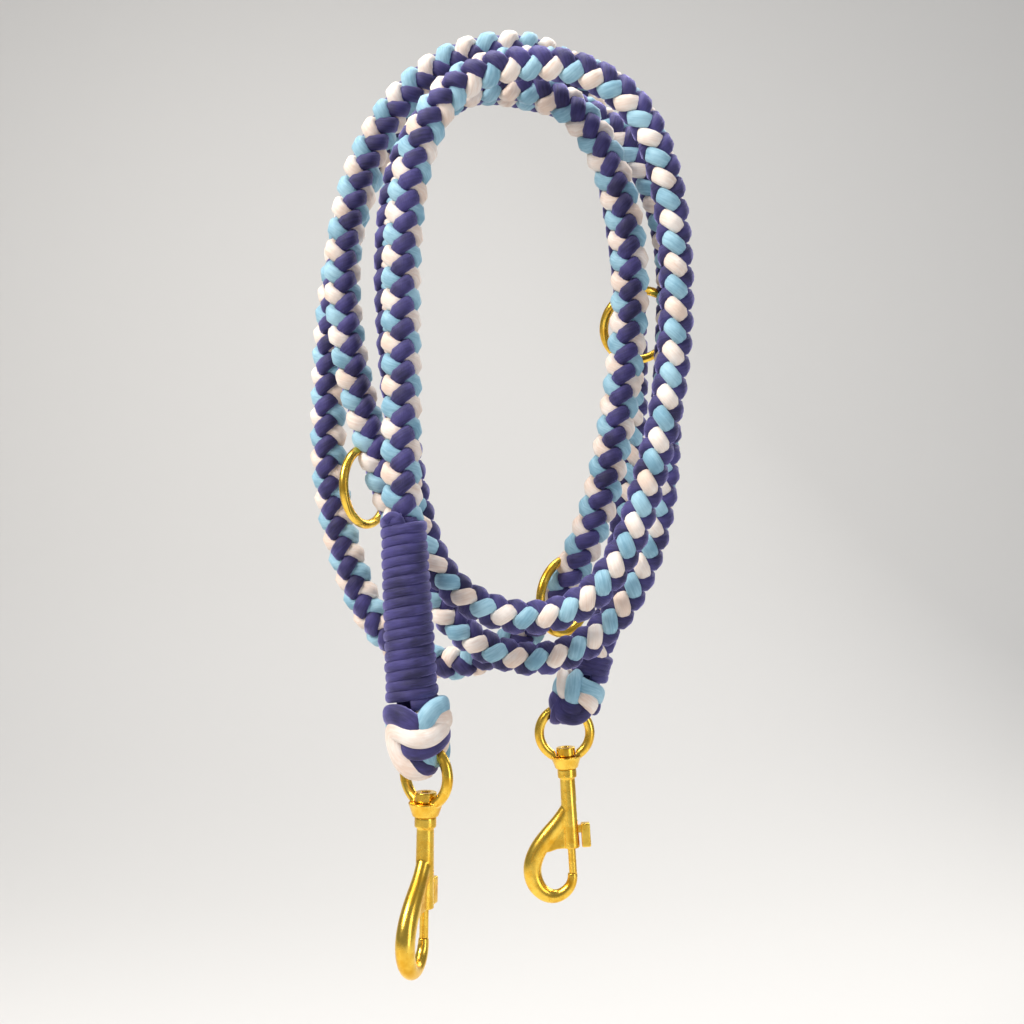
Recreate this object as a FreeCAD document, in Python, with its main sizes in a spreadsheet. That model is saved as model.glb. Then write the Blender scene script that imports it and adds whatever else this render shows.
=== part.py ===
"""Lead rope with a bolt snap at each end and three rings, hung in four passes over a hook.

Millimetres, +Z up. The origin is the place on the hook where the rope rests.
"""
import FreeCAD, Part
import math
import os

from FreeCAD import Placement, Rotation, Vector

doc = FreeCAD.newDocument("LeadRope")

# ---------------------------------------------------------------- driving dimensions
DIMENSIONS = [
    ("rope_diameter", 16.0),
    ("neck_diameter", 11.0),
    ("whipping_a_length", 76.0),
    ("whipping_a_top_diameter", 19.4),
    ("whipping_a_end_diameter", 21.4),
    ("whipping_b_length", 14.7),
    ("whipping_b_top_diameter", 16.8),
    ("whipping_b_end_diameter", 18.0),
    ("knot_a_diameter", 29.0),
    ("knot_a_height", 13.5),
    ("knot_b_diameter", 26.0),
    ("knot_b_height", 10.5),
    ("knot_rounding", 3.6),
    ("knot_a_shift", 1.5),
    ("knot_b_shift", 3.0),
    ("loop_width", 10.0),
    ("loop_strand", 3.4),
    ("loop_neck_height", 9.0),
    ("loop_clearance", 0.4),
    ("bar_a_gap", 1.5),
    ("bar_b_gap", 0.55),
    ("eye_radius", 11.75),
    ("eye_wire_radius", 2.25),
    ("boss_diameter", 14.2),
    ("boss_end_diameter", 10.4),
    ("boss_height", 5.6),
    ("boss_top_drop", 10.8),
    ("swivel_radial_clearance", 0.08),
    ("swivel_end_clearance", 0.15),
    ("head_diameter", 8.8),
    ("head_height", 4.0),
    ("head_side_clearance", 0.35),
    ("stem_diameter", 6.2),
    ("collar_diameter", 8.8),
    ("collar_height", 4.2),
    ("shank_top_radius", 3.5),
    ("shank_end_radius", 3.9),
    ("shank_length", 32.6),
    ("arm_bite", 0.5),
    ("web_thickness", 4.4),
    ("gate_opening", 11.8),
    ("bolt_diameter", 3.64),
    ("bore_clearance", 0.08),
    ("bolt_length", 29.0),
    ("bolt_travel", 11.0),
    ("bolt_tip_gap", 0.15),
    ("plug_depth", 6.6),
    ("plug_length", 3.6),
    ("spring_wire_radius", 0.26),
    ("spring_bore_clearance", 0.24),
    ("spring_turns", 9.0),
    ("tab_neck_width", 2.0),
    ("tab_neck_height", 3.4),
    ("tab_neck_bite", 0.8),
    ("tab_neck_drop", 7.2),
    ("tab_gap", 1.0),
    ("tab_pad_depth", 4.2),
    ("tab_pad_width", 4.6),
    ("tab_pad_height", 11.0),
    ("tab_pad_rise", 0.9),
    ("tab_rounding", 0.7),
    ("slot_side_clearance", 0.15),
    ("slot_end_clearance", 0.3),
    ("ring_radius", 16.5),
    ("ring_wire_radius", 2.0),
    ("ring_hole_clearance", 0.4),
    ("ring_hole_flare", 0.3),
    ("ring_hole_reach", 13.0),
]

sheet = doc.addObject("Spreadsheet::Sheet", "Dimensions")
for row, (alias, number) in enumerate(DIMENSIONS, start=1):
    sheet.set("A%d" % row, alias)
    sheet.set("B%d" % row, str(number))
    sheet.setAlias("B%d" % row, alias)
doc.recompute()


def size(alias):
    """The value of one driving dimension."""
    return float(sheet.get(alias))


# ---------------------------------------------------------------- route of the rope
# From the top of the long whipping, four times over the hook, to the top of the short one.
ROUTE = [
    (-47, -58, -182), (-48, -57, -164), (-48, -50, -135), (-49, -44, -101), (-49, -40, -67),
    (-45, -38, -33), (-33, -38, -6), (-15, -38, 6), (8, -38, 9), (30, -38, 5),
    (50, -38, -9), (61, -38, -33), (66, -38, -64), (67, -38, -100), (63, -38, -136),
    (55, -38, -168), (46, -38, -197), (29, -38, -220), (6, -38, -227), (-16, -37, -222),
    (-34, -36, -208), (-44, -33, -181), (-50, -29, -146), (-54, -26, -107), (-56, -22, -67),
    (-52, -20, -32), (-38, -18, -6), (-19, -16, 6), (3, -16, 7), (24, -16, -3),
    (38, -15, -22), (47, -14, -50), (50, -13, -83), (47, -12, -118), (42, -12, -151),
    (35, -11, -182), (24, -7, -208), (9, 0, -232), (-14, 2, -247), (-39, 3, -251),
    (-64, 5, -235), (-78, 5, -203), (-86, 5, -166), (-86, 5, -128), (-84, 6, -87),
    (-77, 8, -46), (-63, 10, -14), (-42, 11, 6), (-18, 11, 14), (6, 10, 10),
    (30, 9, 3), (49, 7, -11), (63, 5, -35), (70, 2, -69), (68, -4, -109),
    (65, -10, -145), (63, -14, -176), (55, -17, -206), (39, -18, -233), (16, -18, -246),
    (-9, -17, -244), (-32, -17, -228), (-51, -17, -189), (-64, -17, -152), (-75, -17, -110),
    (-78, -16, -68), (-69, -13, -28), (-53, -9, 2), (-31, -5, 21), (-7, -3, 27),
    (11, 9, 29), (27, 24, 23), (39, 29, 0), (47, 28, -36), (53, 25, -82),
    (54, 24, -126), (52, 23, -166), (49, 22, -200), (43, 21, -226), (37, 20, -245),
]
ROUTE = [Vector(*point) for point in ROUTE]
ARC_SHARE = 0.45

# Each ring: the place in the rope's middle beside it, how deep under the rope's surface it
# passes, the way it faces (degrees about +Z), how far it swings out from hanging, and how far it
# leans in its own plane.
RINGS = {
    "ring_1": (Vector(-63.34, -17.06, -153.4), 3.4, 152.0, -2.0, 0.0),
    "ring_2": (Vector(25.97, -7.48, -202.2), 3.85, 138.0, 5.0, -5.0),
    "ring_3": (Vector(69.17, -0.41, -84.9), 3.4, 124.0, 33.0, -35.0),
}

# Each end: how far the eye's top bar stands sideways from the knot's lower end, the eye's turn
# about +Z, the hook's turn about its own shank and the lean towards +X, in degrees.
ENDS = {
    "a": (Vector(4.98, -1.08, 0), -40.0, 71.0, -0.8),
    "b": (Vector(-8.42, 1.26, 0), 0.0, 0.0, 3.5),
}


def rope_path(points):
    """Straight runs joined by tangent arcs. Returns the wire, its length and the arc radii."""
    edges = []
    radii = []
    start = points[0]
    for before, corner, after in zip(points, points[1:], points[2:]):
        way_in = corner - before
        way_out = after - corner
        half_turn = way_in.getAngle(way_out) / 2
        reach = ARC_SHARE * min(way_in.Length, way_out.Length)
        radii.append(reach / math.tan(half_turn))
        way_in.normalize()
        way_out.normalize()
        arc_start = corner - way_in * reach
        arc_end = corner + way_out * reach
        towards_middle = way_out - way_in
        towards_middle.normalize()
        to_centre = radii[-1] / math.cos(half_turn)
        arc_middle = corner + towards_middle * (to_centre - radii[-1])
        edges.append(Part.LineSegment(start, arc_start).toShape())
        edges.append(Part.Arc(arc_start, arc_middle, arc_end).toShape())
        start = arc_end
    edges.append(Part.LineSegment(start, points[-1]).toShape())
    wire = Part.Wire(edges)
    return wire, wire.Length, radii


def end_direction(end):
    """The way a rope end runs on, out of the hung coil and down its whipping."""
    first, second = (ROUTE[1], ROUTE[0]) if end == "a" else (ROUTE[-2], ROUTE[-1])
    way = second - first
    return way.normalize()


def whipping_top(end):
    return ROUTE[0] if end == "a" else ROUTE[-1]


def eye_bar(end):
    """The middle of the eye's top bar, a gap and half its own thickness under the knot."""
    to_knot_end = size("whipping_%s_length" % end) + size("knot_%s_height" % end)
    drop = size("eye_wire_radius") + size("bar_%s_gap" % end)
    return whipping_top(end) + end_direction(end) * to_knot_end + ENDS[end][0] - Vector(0, 0, drop)


def along_axis(base, direction):
    """A placement with its own +Z along direction."""
    return Placement(base, Rotation(Vector(0, 0, 1), direction))


def snap_placement(end, turn):
    """The frame of one snap: its origin in the eye's top bar, its shank along -Z."""
    eye_turn, hook_turn, lean = ENDS[end][1:]
    turned = Rotation(Vector(0, 0, 1), hook_turn if turn == "hook" else eye_turn)
    hang = Rotation(Vector(0, 1, 0), -lean).multiply(turned)
    return Placement(eye_bar(end), hang)


def ring_frame(name):
    """Where the ring passes through the rope, the axis there, the way to its middle, and that."""
    beside, depth, facing, swing, lean = RINGS[name]
    outward = Vector(math.cos(math.radians(facing)), math.sin(math.radians(facing)), 0)
    capture = beside + outward * (size("rope_diameter") / 2 - depth)
    across = Vector(-outward.y, outward.x, 0)
    down = Vector(0, 0, -1)
    tilt = math.radians(lean)
    axis = across * math.cos(tilt) + down * math.sin(tilt)
    drop = down * math.cos(tilt) - across * math.sin(tilt)
    out = math.radians(swing)
    way = drop * math.cos(out) + outward * math.sin(out)
    return capture, axis, way, capture + way * size("ring_radius")


# ---------------------------------------------------------------- small builders
def bind(feature, **expressions):
    """Tie properties of a feature to the sheet."""
    for name, expression in expressions.items():
        feature.setExpression(name, expression)
    return feature


def cylinder(name, radius, height, base=Vector(0, 0, 0), direction=Vector(0, 0, 1), z=None):
    """A cylinder bound to the sheet, z being the expression of its lower end."""
    feature = doc.addObject("Part::Cylinder", name)
    feature.Placement = along_axis(base, direction)
    bind(feature, Radius=radius, Height=height)
    if z:
        bind(feature, **{"Placement.Base.z": z})
    return feature


def cone(name, bottom, top, height, base=Vector(0, 0, 0), direction=Vector(0, 0, 1), z=None):
    feature = doc.addObject("Part::Cone", name)
    feature.Placement = along_axis(base, direction)
    bind(feature, Radius1=bottom, Radius2=top, Height=height)
    if z:
        bind(feature, **{"Placement.Base.z": z})
    return feature


def block(name, length, width, height, x, y, z):
    feature = doc.addObject("Part::Box", name)
    bind(feature, Length=length, Width=width, Height=height)
    bind(feature, **{"Placement.Base.x": x, "Placement.Base.y": y, "Placement.Base.z": z})
    return feature


def fuse(name, features):
    feature = doc.addObject("Part::MultiFuse", name)
    feature.Shapes = features
    feature.Refine = True
    return feature


def cut(name, base, tool):
    feature = doc.addObject("Part::Cut", name)
    feature.Base = base
    feature.Tool = tool
    return feature


def finish(feature, label, placement=None):
    """Name a finished sub-part and put it in its place."""
    feature.Label = label
    if placement:
        feature.Placement = placement
    SUB_PARTS.append(feature)
    return feature


SUB_PARTS = []
D = "Dimensions."


# ---------------------------------------------------------------- rope and its ends
def ring_hole(name):
    """The two-way flared hole that a ring passes through, as a solid to cut away."""
    capture, axis = ring_frame(name)[:2]
    narrow = size("ring_wire_radius") + size("ring_hole_clearance")
    reach = size("ring_hole_reach")
    wide = narrow + size("ring_hole_flare") * reach
    one_way = Part.makeCone(narrow, wide, reach, capture, axis)
    other_way = Part.makeCone(narrow, wide, reach, capture, -axis)
    return one_way.fuse(other_way)


def braided_rope():
    """The rope: a round tube along the route, with a thinner neck in each whipping."""
    radius = size("rope_diameter") / 2
    wire, length, radii = rope_path(ROUTE)
    start_circle = Part.Wire(Part.makeCircle(radius, ROUTE[0], end_direction("a")))
    tube = wire.makePipeShell([start_circle], True, False)
    section = math.pi * radius * radius
    print("arc radii:", " ".join("%.0f" % value for value in radii))
    print("rope length %.1f mm" % length)
    print("tube volume %.0f, section x length %.0f" % (tube.Volume, section * length))
    for end in "ab":
        neck = Part.makeCylinder(size("neck_diameter") / 2, size("whipping_%s_length" % end),
                                 whipping_top(end), end_direction(end))
        tube = tube.fuse(neck)
    for name in RINGS:
        tube = tube.cut(ring_hole(name))
    feature = doc.addObject("Part::Feature", "BraidedRope")
    feature.Shape = tube
    feature.Placement = Placement()
    return finish(feature, "braided_rope")


def whipping(end):
    """The cord winding over a rope end: a slightly flared sleeve on the rope's neck."""
    size_name = D + "whipping_%s_" % end
    outside = cone("WhippingOutside_" + end, size_name + "top_diameter / 2",
                   size_name + "end_diameter / 2", size_name + "length")
    core = cylinder("WhippingCore_" + end, D + "neck_diameter / 2", size_name + "length")
    sleeve = cut("Whipping_" + end, outside, core)
    finish(sleeve, "whipping_" + end, along_axis(whipping_top(end), end_direction(end)))


def knot(end):
    """The crown knot: a rounded drum face to face with the whipping, pulled towards the eye."""
    size_name = D + "knot_%s_" % end
    drum = cylinder("KnotDrum_" + end, size_name + "diameter / 2", size_name + "height")
    doc.recompute()
    rounded = doc.addObject("Part::Fillet", "Knot_" + end)
    rounded.Base = drum
    radius = size("knot_rounding")
    rounded.Edges = [(number, radius, radius) for number, edge in enumerate(drum.Shape.Edges, 1)
                     if len(edge.Vertexes) == 1]
    along = end_direction(end)
    top = whipping_top(end) + along * size("whipping_%s_length" % end)
    towards_bar = eye_bar(end) - top
    towards_bar = towards_bar - along * towards_bar.dot(along)
    top = top + towards_bar.normalize() * size("knot_%s_shift" % end)
    return finish(rounded, "crown_knot_" + end, along_axis(top, along))


def end_loop(end, knot_feature):
    """The bight of strand that goes under the eye's top bar, cut off where the knot starts."""
    bore = D + "eye_wire_radius + " + D + "loop_clearance"
    outer = bore + " + " + D + "loop_strand"
    half_width = D + "loop_width / 2"
    bend = cylinder("LoopBend_" + end, outer, D + "loop_width", direction=Vector(1, 0, 0))
    bind(bend, **{"Placement.Base.x": "-" + half_width})
    legs = block("LoopLegs_" + end, D + "loop_width", "2 * (" + outer + ")",
                 D + "loop_neck_height", "-" + half_width, "-(" + outer + ")", "0")
    bight = fuse("LoopBight_" + end, [bend, legs])
    flare = D + "loop_width ^ 2 / (3 * " + D + "eye_radius)"
    tools = [cone("LoopHole%s_%s" % (side, end), bore, bore + " + " + flare,
                  D + "loop_width", direction=Vector(way, 0, 0))
             for side, way in (("Left", -1), ("Right", 1))]
    bored = cut("LoopBored_" + end, bight, fuse("LoopHole_" + end, tools))
    bored.Placement = snap_placement(end, "eye")
    finish(cut("Loop_" + end, bored, knot_feature), "end_loop_" + end)


# ---------------------------------------------------------------- bolt snap
# Heights in a snap's own frame, from the middle of the eye's top bar down.
BOSS_TOP = "-(" + D + "eye_radius + " + D + "boss_top_drop)"
BOSS_END = BOSS_TOP + " - " + D + "boss_height"
COLLAR_TOP = BOSS_END + " - " + D + "swivel_end_clearance"
COLLAR_END = COLLAR_TOP + " - " + D + "collar_height"
BODY_END = COLLAR_END + " - " + D + "shank_length"
HEAD_END = BOSS_TOP + " + " + D + "swivel_end_clearance"
HEAD_TOP = HEAD_END + " + " + D + "head_height"
TIP_TOP = BODY_END + " - " + D + "gate_opening"
BOLT_END = TIP_TOP + " + " + D + "bolt_tip_gap"
BOLT_TOP = BOLT_END + " + " + D + "bolt_length"
PLUG_TOP = HEAD_TOP + " - " + D + "plug_depth"
PLUG_END = PLUG_TOP + " - " + D + "plug_length"
BORE_RADIUS = D + "bolt_diameter / 2 + " + D + "bore_clearance"
COIL_RADIUS = BORE_RADIUS + " - " + D + "spring_bore_clearance - " + D + "spring_wire_radius"
NECK_TOP = BOLT_TOP + " - " + D + "tab_neck_drop"
NECK_END = NECK_TOP + " - " + D + "tab_neck_height"


def swivel_eye(end):
    """The round eye with its boss, bored for the swivel stem and faced for the stem's head."""
    eye = doc.addObject("Part::Torus", "EyeWire_" + end)
    bind(eye, Radius1=D + "eye_radius", Radius2=D + "eye_wire_radius")
    eye.Placement = Placement(Vector(0, 0, 0), Rotation(Vector(1, 0, 0), 90))
    bind(eye, **{"Placement.Base.z": "-" + D + "eye_radius"})
    boss = cone("EyeBoss_" + end, D + "boss_end_diameter / 2", D + "boss_diameter / 2",
                D + "boss_height", z=BOSS_END)
    solid = fuse("EyeSolid_" + end, [eye, boss])
    stem_hole = cylinder("EyeStemHole_" + end, D + "stem_diameter / 2 + "
                         + D + "swivel_radial_clearance", "3 * " + D + "boss_height",
                         z=BOSS_END + " - " + D + "boss_height")
    facing = cylinder("EyeFacing_" + end, D + "head_diameter / 2 + " + D + "head_side_clearance",
                      "2 * " + D + "head_height", z=BOSS_TOP)
    bored = cut("Eye_" + end, solid, fuse("EyeTools_" + end, [stem_hole, facing]))
    finish(bored, "swivel_eye_" + end, snap_placement(end, "eye"))


# The hook's arm: across and down from the bottom of the bolt housing, half width in the hook's
# plane, half thickness, and the way the arm runs there in degrees from -Z towards +X.
ARM = [
    (-1.0, 18.6, 2.9, 2.9, -30.0),
    (-3.4, 14.2, 3.6, 3.1, -36.0),
    (-7.2, 9.6, 3.9, 3.3, -43.0),
    (-12.0, 4.4, 4.1, 3.6, -43.0),
    (-16.3, -1.6, 4.2, 3.8, -28.0),
    (-18.8, -9.5, 4.2, 3.9, -3.0),
    (-17.3, -16.6, 4.0, 3.7, 28.0),
    (-13.5, -20.9, 3.5, 3.4, 62.0),
    (-8.9, -22.2, 3.1, 3.0, 93.0),
    (-4.5, -20.6, 2.8, 2.7, 125.0),
    (-1.5, -17.4, 2.5, 2.4, 152.0),
    (-0.4, -14.0, 2.3, 2.2, 176.0),
]
TIP_SECTION = (-0.3, 2.2, 2.0)


def hook_arm(end):
    """The bent arm of the hook, lofted through oval sections."""
    sections = []
    tip = [(TIP_SECTION[0], None, TIP_SECTION[1], TIP_SECTION[2], 180.0)]
    for number, (across, rise, half_width, half_depth, run) in enumerate(ARM + tip):
        oval = doc.addObject("Part::Ellipse", "ArmSection%d_%s" % (number, end))
        wide = half_width >= half_depth
        oval.MajorRadius = max(half_width, half_depth)
        oval.MinorRadius = min(half_width, half_depth)
        spin = Rotation(Vector(0, 0, 1), 0 if wide else 90)
        turn = Rotation(Vector(0, 1, 0), -run).multiply(Rotation(Vector(1, 0, 0), 180))
        oval.Placement = Placement(Vector(across, 0, 0), turn.multiply(spin))
        height = TIP_TOP if rise is None else BODY_END + " + %g" % rise
        bind(oval, **{"Placement.Base.z": height})
        sections.append(oval)
    arm = doc.addObject("Part::Loft", "Arm_" + end)
    arm.Sections = sections
    arm.Solid = True
    arm.Ruled = False
    return arm


# Corners of the web between the bolt housing and the arm, across and up from the housing's end.
WEB_CORNERS = [
    (0.0, 0.0), (0.0, 17.0), (-6.6, 10.0), (-12.0, 4.6), (-16.4, -1.2), (-10.5, -1.2), (-6.5, 0.0),
]


def hook_web(end):
    """The flat web that fills the corner between housing and arm."""
    body_end = COLLAR_END_VALUE - size("shank_length")
    corners = [Vector(across, 0, body_end + rise) for across, rise in WEB_CORNERS]
    outline = doc.addObject("Part::Polygon", "WebOutline_" + end)
    outline.Nodes = corners
    outline.Close = True
    web = doc.addObject("Part::Extrusion", "Web_" + end)
    web.Base = outline
    web.DirMode = "Custom"
    web.Dir = Vector(0, 1, 0)
    web.Solid = True
    web.Symmetric = True
    bind(web, LengthFwd=D + "web_thickness")
    return web


COLLAR_END_VALUE = -(size("eye_radius") + size("boss_top_drop") + size("boss_height")
                     + size("swivel_end_clearance") + size("collar_height"))


def hook_body(end):
    """The cast hook: head, stem, collar, bolt housing, web and arm, bored and slotted."""
    head = cylinder("Head_" + end, D + "head_diameter / 2", D + "head_height", z=HEAD_END)
    stem = cylinder("Stem_" + end, D + "stem_diameter / 2",
                    D + "boss_height + 2 * " + D + "swivel_end_clearance", z=COLLAR_TOP)
    collar = cylinder("Collar_" + end, D + "collar_diameter / 2", D + "collar_height",
                      z=COLLAR_END)
    housing = cone("Housing_" + end, D + "shank_end_radius", D + "shank_top_radius",
                   D + "shank_length", z=BODY_END)
    solid = fuse("HookSolid_" + end,
                 [head, stem, collar, housing, hook_web(end), hook_arm(end)])
    bore = cylinder("Bore_" + end, BORE_RADIUS, HEAD_TOP + " - (" + TIP_TOP + ")", z=TIP_TOP)
    slot = block("Slot_" + end, "2 * " + D + "shank_end_radius",
                 D + "tab_neck_width + 2 * " + D + "slot_side_clearance",
                 D + "tab_neck_height + " + D + "bolt_travel + 2 * " + D + "slot_end_clearance",
                 "0", "-(" + D + "tab_neck_width / 2 + " + D + "slot_side_clearance)",
                 NECK_END + " - " + D + "slot_end_clearance")
    hook = cut("Hook_" + end, solid, fuse("HookTools_" + end, [bore, slot]))
    finish(hook, "hook_body_" + end, snap_placement(end, "hook"))


def tab_neck(name):
    """The flat neck that joins the thumb piece to the bolt."""
    return block(name, D + "tab_neck_bite + " + D + "shank_end_radius + 2 * " + D + "tab_gap",
                 D + "tab_neck_width", D + "tab_neck_height", "-" + D + "tab_neck_bite",
                 "-" + D + "tab_neck_width / 2", NECK_END)


def bolt(end):
    """The sliding bolt, notched for the thumb piece."""
    pin = cylinder("BoltPin_" + end, D + "bolt_diameter / 2", D + "bolt_length", z=BOLT_END)
    notched = cut("Bolt_" + end, pin, tab_neck("BoltNotch_" + end))
    finish(notched, "bolt_" + end, snap_placement(end, "hook"))


def thumb_tab(end):
    """The thumb piece: a pad beside the housing on a flat neck."""
    pad = block("TabPad_" + end, D + "tab_pad_depth", D + "tab_pad_width",
                D + "tab_pad_height", D + "shank_end_radius + " + D + "tab_gap",
                "-" + D + "tab_pad_width / 2",
                NECK_TOP + " + " + D + "tab_pad_rise - " + D + "tab_pad_height")
    doc.recompute()
    rounded = doc.addObject("Part::Fillet", "TabRounded_" + end)
    rounded.Base = pad
    radius = size("tab_rounding")
    rounded.Edges = [(number, radius, radius) for number in range(1, 13)]
    tab = fuse("Tab_" + end, [rounded, tab_neck("TabNeck_" + end)])
    finish(tab, "thumb_tab_" + end, snap_placement(end, "hook"))


def spring(end):
    """The coil spring between the plug and the bolt."""
    coil = doc.addObject("Part::Helix", "SpringCoil_" + end)
    length = PLUG_END + " - (" + BOLT_TOP + ") - 4 * " + D + "spring_wire_radius"
    bind(coil, Radius=COIL_RADIUS, Height=length,
         Pitch="(" + length + ") / " + D + "spring_turns")
    bind(coil, **{"Placement.Base.z": BOLT_TOP + " + 2 * " + D + "spring_wire_radius"})
    section = doc.addObject("Part::Circle", "SpringSection_" + end)
    section.Placement = Placement(Vector(0, 0, 0), Rotation(Vector(1, 0, 0), 90))
    bind(section, Radius=D + "spring_wire_radius")
    bind(section, **{"Placement.Base.x": COIL_RADIUS,
                     "Placement.Base.z": BOLT_TOP + " + 2 * " + D + "spring_wire_radius"})
    wound = doc.addObject("Part::Sweep", "Spring_" + end)
    wound.Sections = [section]
    wound.Spine = (coil, ["Edge%d" % (number + 1) for number in range(len(coil.Shape.Edges))])
    wound.Solid = True
    wound.Frenet = True
    finish(wound, "spring_" + end, snap_placement(end, "hook"))


def bore_plug(end):
    """The plug pressed into the bore above the spring."""
    plug = cylinder("Plug_" + end, BORE_RADIUS, D + "plug_length", z=PLUG_END)
    holder = fuse("PlugHolder_" + end, [plug, plug_centre(end)])
    finish(holder, "bore_plug_" + end, snap_placement(end, "hook"))


def plug_centre(end):
    """The plug's small nose, which keeps the spring in the middle of the bore."""
    return cylinder("PlugNose_" + end, COIL_RADIUS + " - 2 * " + D + "spring_wire_radius",
                    D + "plug_length", z=PLUG_END + " - 1")


def ring(name):
    """A plain round ring."""
    axis, way, middle = ring_frame(name)[1:]
    wire = doc.addObject("Part::Torus", name.title().replace("_", ""))
    bind(wire, Radius1=D + "ring_radius", Radius2=D + "ring_wire_radius")
    finish(wire, name, along_axis(middle, axis.cross(way)))


# ---------------------------------------------------------------- build, check and write
braided_rope()
for end_name in "ab":
    whipping(end_name)
    end_loop(end_name, knot(end_name))
    swivel_eye(end_name)
    hook_body(end_name)
    bolt(end_name)
    thumb_tab(end_name)
    doc.recompute()
    spring(end_name)
    bore_plug(end_name)
for ring_name in RINGS:
    ring(ring_name)
doc.recompute()

for item in doc.Objects:
    if "Invalid" in item.State or "Error" in item.State:
        raise RuntimeError("%s did not build: %s" % (item.Name, item.State))
for item in SUB_PARTS:
    if item.Shape.isNull() or not item.Shape.isValid():
        raise RuntimeError(item.Label + " has no valid shape")

os.makedirs("parts", exist_ok=True)
for item in SUB_PARTS:
    item.Shape.exportStep("parts/%s.step" % item.Label)
print(len(SUB_PARTS), "sub-parts written")
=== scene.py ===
"""Lead rope: a four-strand braid hung over a hook, whipped and knotted at both ends on bolt snaps."""

import math

import bmesh
import bpy
from bpy.props import FloatProperty, FloatVectorProperty, IntProperty, PointerProperty
from bpy.types import Operator, Panel, PropertyGroup
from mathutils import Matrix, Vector


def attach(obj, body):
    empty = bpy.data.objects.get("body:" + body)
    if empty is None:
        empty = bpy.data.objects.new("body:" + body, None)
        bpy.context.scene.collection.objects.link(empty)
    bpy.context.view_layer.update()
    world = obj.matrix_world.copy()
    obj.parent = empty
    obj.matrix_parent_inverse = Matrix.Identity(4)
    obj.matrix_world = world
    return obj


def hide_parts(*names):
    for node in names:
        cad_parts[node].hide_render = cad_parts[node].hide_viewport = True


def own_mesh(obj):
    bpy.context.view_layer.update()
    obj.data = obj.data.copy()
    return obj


bl_info = {
    "name": "Lead Rope",
    "version": (1, 0, 0),
    "blender": (4, 5, 0),
    "location": "View3D > Sidebar > Lead Rope",
    "description": "Builds a braided lead rope with whippings, crown knots, bolt snaps and rings",
    "category": "Object",
}

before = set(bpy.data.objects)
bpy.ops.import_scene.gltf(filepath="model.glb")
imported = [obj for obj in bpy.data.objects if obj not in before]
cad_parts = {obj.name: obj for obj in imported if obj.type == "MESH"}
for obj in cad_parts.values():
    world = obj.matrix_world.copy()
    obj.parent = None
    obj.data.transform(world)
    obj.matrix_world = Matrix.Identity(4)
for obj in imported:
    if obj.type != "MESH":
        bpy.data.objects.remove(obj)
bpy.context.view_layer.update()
MM = 0.001
FRONT = Vector((0.0, -1.0, 0.0))
UV_PER_METRE = 100.0

# The rope's route in metres, from the top of the long whipping to the top of the short one.
ROUTE = [
    (-0.047, -0.058, -0.182), (-0.048, -0.057, -0.164), (-0.048, -0.050, -0.135), (-0.049, -0.044, -0.101),
    (-0.049, -0.040, -0.067), (-0.045, -0.038, -0.033), (-0.033, -0.038, -0.006), (-0.015, -0.038, 0.006),
    (0.008, -0.038, 0.009), (0.030, -0.038, 0.005), (0.050, -0.038, -0.009), (0.061, -0.038, -0.033),
    (0.066, -0.038, -0.064), (0.067, -0.038, -0.100), (0.063, -0.038, -0.136), (0.055, -0.038, -0.168),
    (0.046, -0.038, -0.197), (0.029, -0.038, -0.220), (0.006, -0.038, -0.227), (-0.016, -0.037, -0.222),
    (-0.034, -0.036, -0.208), (-0.044, -0.033, -0.181), (-0.050, -0.029, -0.146), (-0.054, -0.026, -0.107),
    (-0.056, -0.022, -0.067), (-0.052, -0.020, -0.032), (-0.038, -0.018, -0.006), (-0.019, -0.016, 0.006),
    (0.003, -0.016, 0.007), (0.024, -0.016, -0.003), (0.038, -0.015, -0.022), (0.047, -0.014, -0.050),
    (0.050, -0.013, -0.083), (0.047, -0.012, -0.118), (0.042, -0.012, -0.151), (0.035, -0.011, -0.182),
    (0.024, -0.007, -0.208), (0.009, 0.000, -0.232), (-0.014, 0.002, -0.247), (-0.039, 0.003, -0.251),
    (-0.064, 0.005, -0.235), (-0.078, 0.005, -0.203), (-0.086, 0.005, -0.166), (-0.086, 0.005, -0.128),
    (-0.084, 0.006, -0.087), (-0.077, 0.008, -0.046), (-0.063, 0.010, -0.014), (-0.042, 0.011, 0.006),
    (-0.018, 0.011, 0.014), (0.006, 0.010, 0.010), (0.030, 0.009, 0.003), (0.049, 0.007, -0.011),
    (0.063, 0.005, -0.035), (0.070, 0.002, -0.069), (0.068, -0.004, -0.109), (0.065, -0.010, -0.145),
    (0.063, -0.014, -0.176), (0.055, -0.017, -0.206), (0.039, -0.018, -0.233), (0.016, -0.018, -0.246),
    (-0.009, -0.017, -0.244), (-0.032, -0.017, -0.228), (-0.051, -0.017, -0.189), (-0.064, -0.017, -0.152),
    (-0.075, -0.017, -0.110), (-0.078, -0.016, -0.068), (-0.069, -0.013, -0.028), (-0.053, -0.009, 0.002),
    (-0.031, -0.005, 0.021), (-0.007, -0.003, 0.027), (0.011, 0.009, 0.029), (0.027, 0.024, 0.023),
    (0.039, 0.029, 0.000), (0.047, 0.028, -0.036), (0.053, 0.025, -0.082), (0.054, 0.024, -0.126),
    (0.052, 0.023, -0.166), (0.049, 0.022, -0.200), (0.043, 0.021, -0.226), (0.037, 0.020, -0.245),
]

# How the braid is turned about its own line: route point and degrees from facing forwards.
BRAID_TURNS = [
    (0, 16), (4, 16), (6, -18), (8, -42), (10, -58), (12, -80), (16, -84), (19, -90), (22, -80), (26, -40),
    (30, 0), (35, 0), (38, -35), (41, -14), (45, -14), (49, -30), (53, -45), (57, -75), (60, -90),
    (63, -145), (66, -150), (68, -135), (72, -125), (75, -95), (79, -90),
]

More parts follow.
